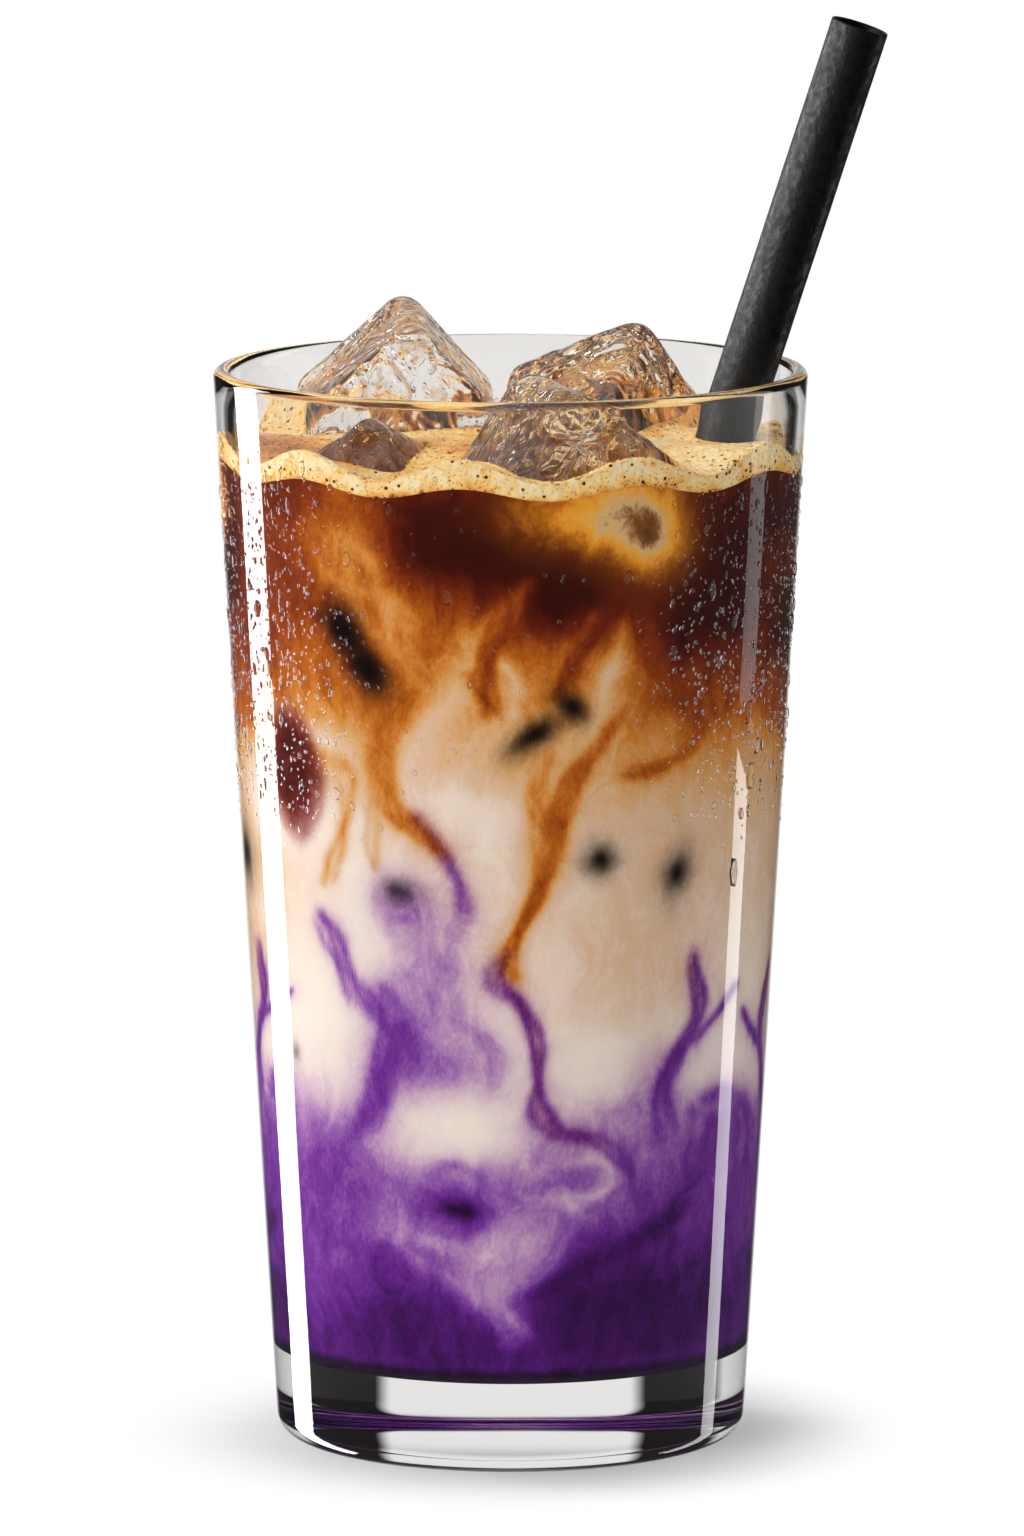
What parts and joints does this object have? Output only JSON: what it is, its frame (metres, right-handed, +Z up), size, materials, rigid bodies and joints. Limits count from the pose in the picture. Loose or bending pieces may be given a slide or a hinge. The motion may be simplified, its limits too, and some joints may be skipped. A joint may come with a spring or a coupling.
{
  "type": "ube latte",
  "caption": "Tall tapered glass of iced ube latte: purple ube, milk and coffee swirl into each other under a golden crema, with protruding ice and a leaning black straw.",
  "frame": {"origin": "centre of the glass's foot, on the table plane", "axes": "+Z up along the glass's axis, -Y the front of the drink, the straw leans towards +X"},
  "size_m": [0.0926, 0.0818, 0.1978],
  "materials": {
    "clear_glass": "clear pressed soda-lime glass, fire-polished rim",
    "ube_milk": "deep purple ube in milk, opaque liquid",
    "milk": "creamy white milk, opaque liquid",
    "coffee": "red-brown brewed coffee, amber where it thins into the milk",
    "crema": "golden tan fine foam with open bubbles",
    "ice": "clear wet ice with dimpled, melted faces",
    "black_straw": "matte black, faintly mottled"
  },
  "bodies": {
    "root": {"glass": "clear_glass", "ube_layer": "ube_milk", "milk_layer": "milk", "coffee_layer": "coffee", "crema": "crema", "ice_rear_left": "ice", "ice_rear_right": "ice", "ice_front_right": "ice", "ice_front_left": "ice", "straw": "black_straw"}
  },
  "joints": []
}
